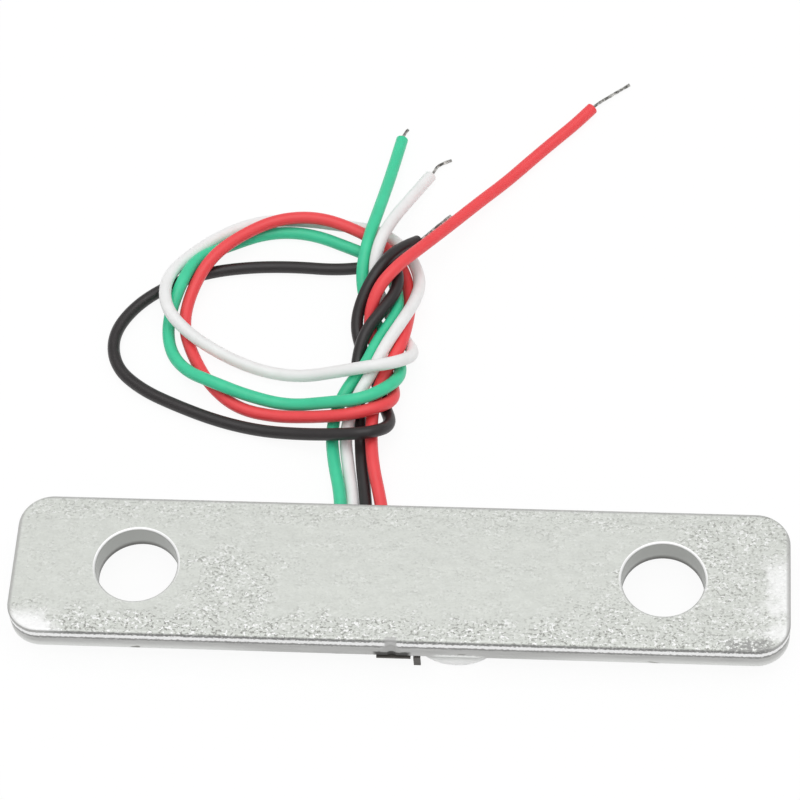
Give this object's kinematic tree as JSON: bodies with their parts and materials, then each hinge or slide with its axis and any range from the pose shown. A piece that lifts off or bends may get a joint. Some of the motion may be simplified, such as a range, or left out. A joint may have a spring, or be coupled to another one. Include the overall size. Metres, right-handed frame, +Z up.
{
  "type": "single point load cell",
  "caption": "Miniature single point load cell: a flat metal bar with a clearance hole near each end, a bonded gauge under silicone and knotted insulated leads.",
  "frame": {"origin": "on the surface that the silicone coat stands on, below the middle of the bar", "axes": "+X along the bar, +Y to the side that the leads leave from, +Z up through the bar's thickness"},
  "size_m": [0.0502, 0.048, 0.0035],
  "materials": {
    "bar_metal": "tumbled, finely pitted, satin",
    "film": "dark gauge carrier film",
    "foil": "etched resistance foil",
    "copper_pad": "copper pad",
    "solder": "bright solder",
    "tinned_copper": "tinned strands",
    "silicone": "soft, slightly translucent",
    "insulation_green": "smooth soft insulation",
    "insulation_white": "smooth soft insulation",
    "insulation_black": "smooth soft insulation",
    "insulation_red": "smooth soft insulation"
  },
  "bodies": {
    "root": {"bar": "bar_metal", "gauge_film": "film", "strain_grid_1": "foil", "strain_grid_2": "foil", "strain_grid_3": "foil", "strain_grid_4": "foil", "solder_pad_green": "copper_pad", "solder_joint_green": "solder", "root_strands_green": "tinned_copper", "lead_green": "insulation_green", "tip_strands_green": "tinned_copper", "solder_pad_white": "copper_pad", "solder_joint_white": "solder", "root_strands_white": "tinned_copper", "lead_white": "insulation_white", "tip_strands_white": "tinned_copper", "solder_pad_black": "copper_pad", "solder_joint_black": "solder", "root_strands_black": "tinned_copper", "lead_black": "insulation_black", "tip_strands_black": "tinned_copper", "solder_pad_red": "copper_pad", "solder_joint_red": "solder", "root_strands_red": "tinned_copper", "lead_red": "insulation_red", "tip_strands_red": "tinned_copper", "silicone_coat": "silicone"}
  },
  "joints": []
}
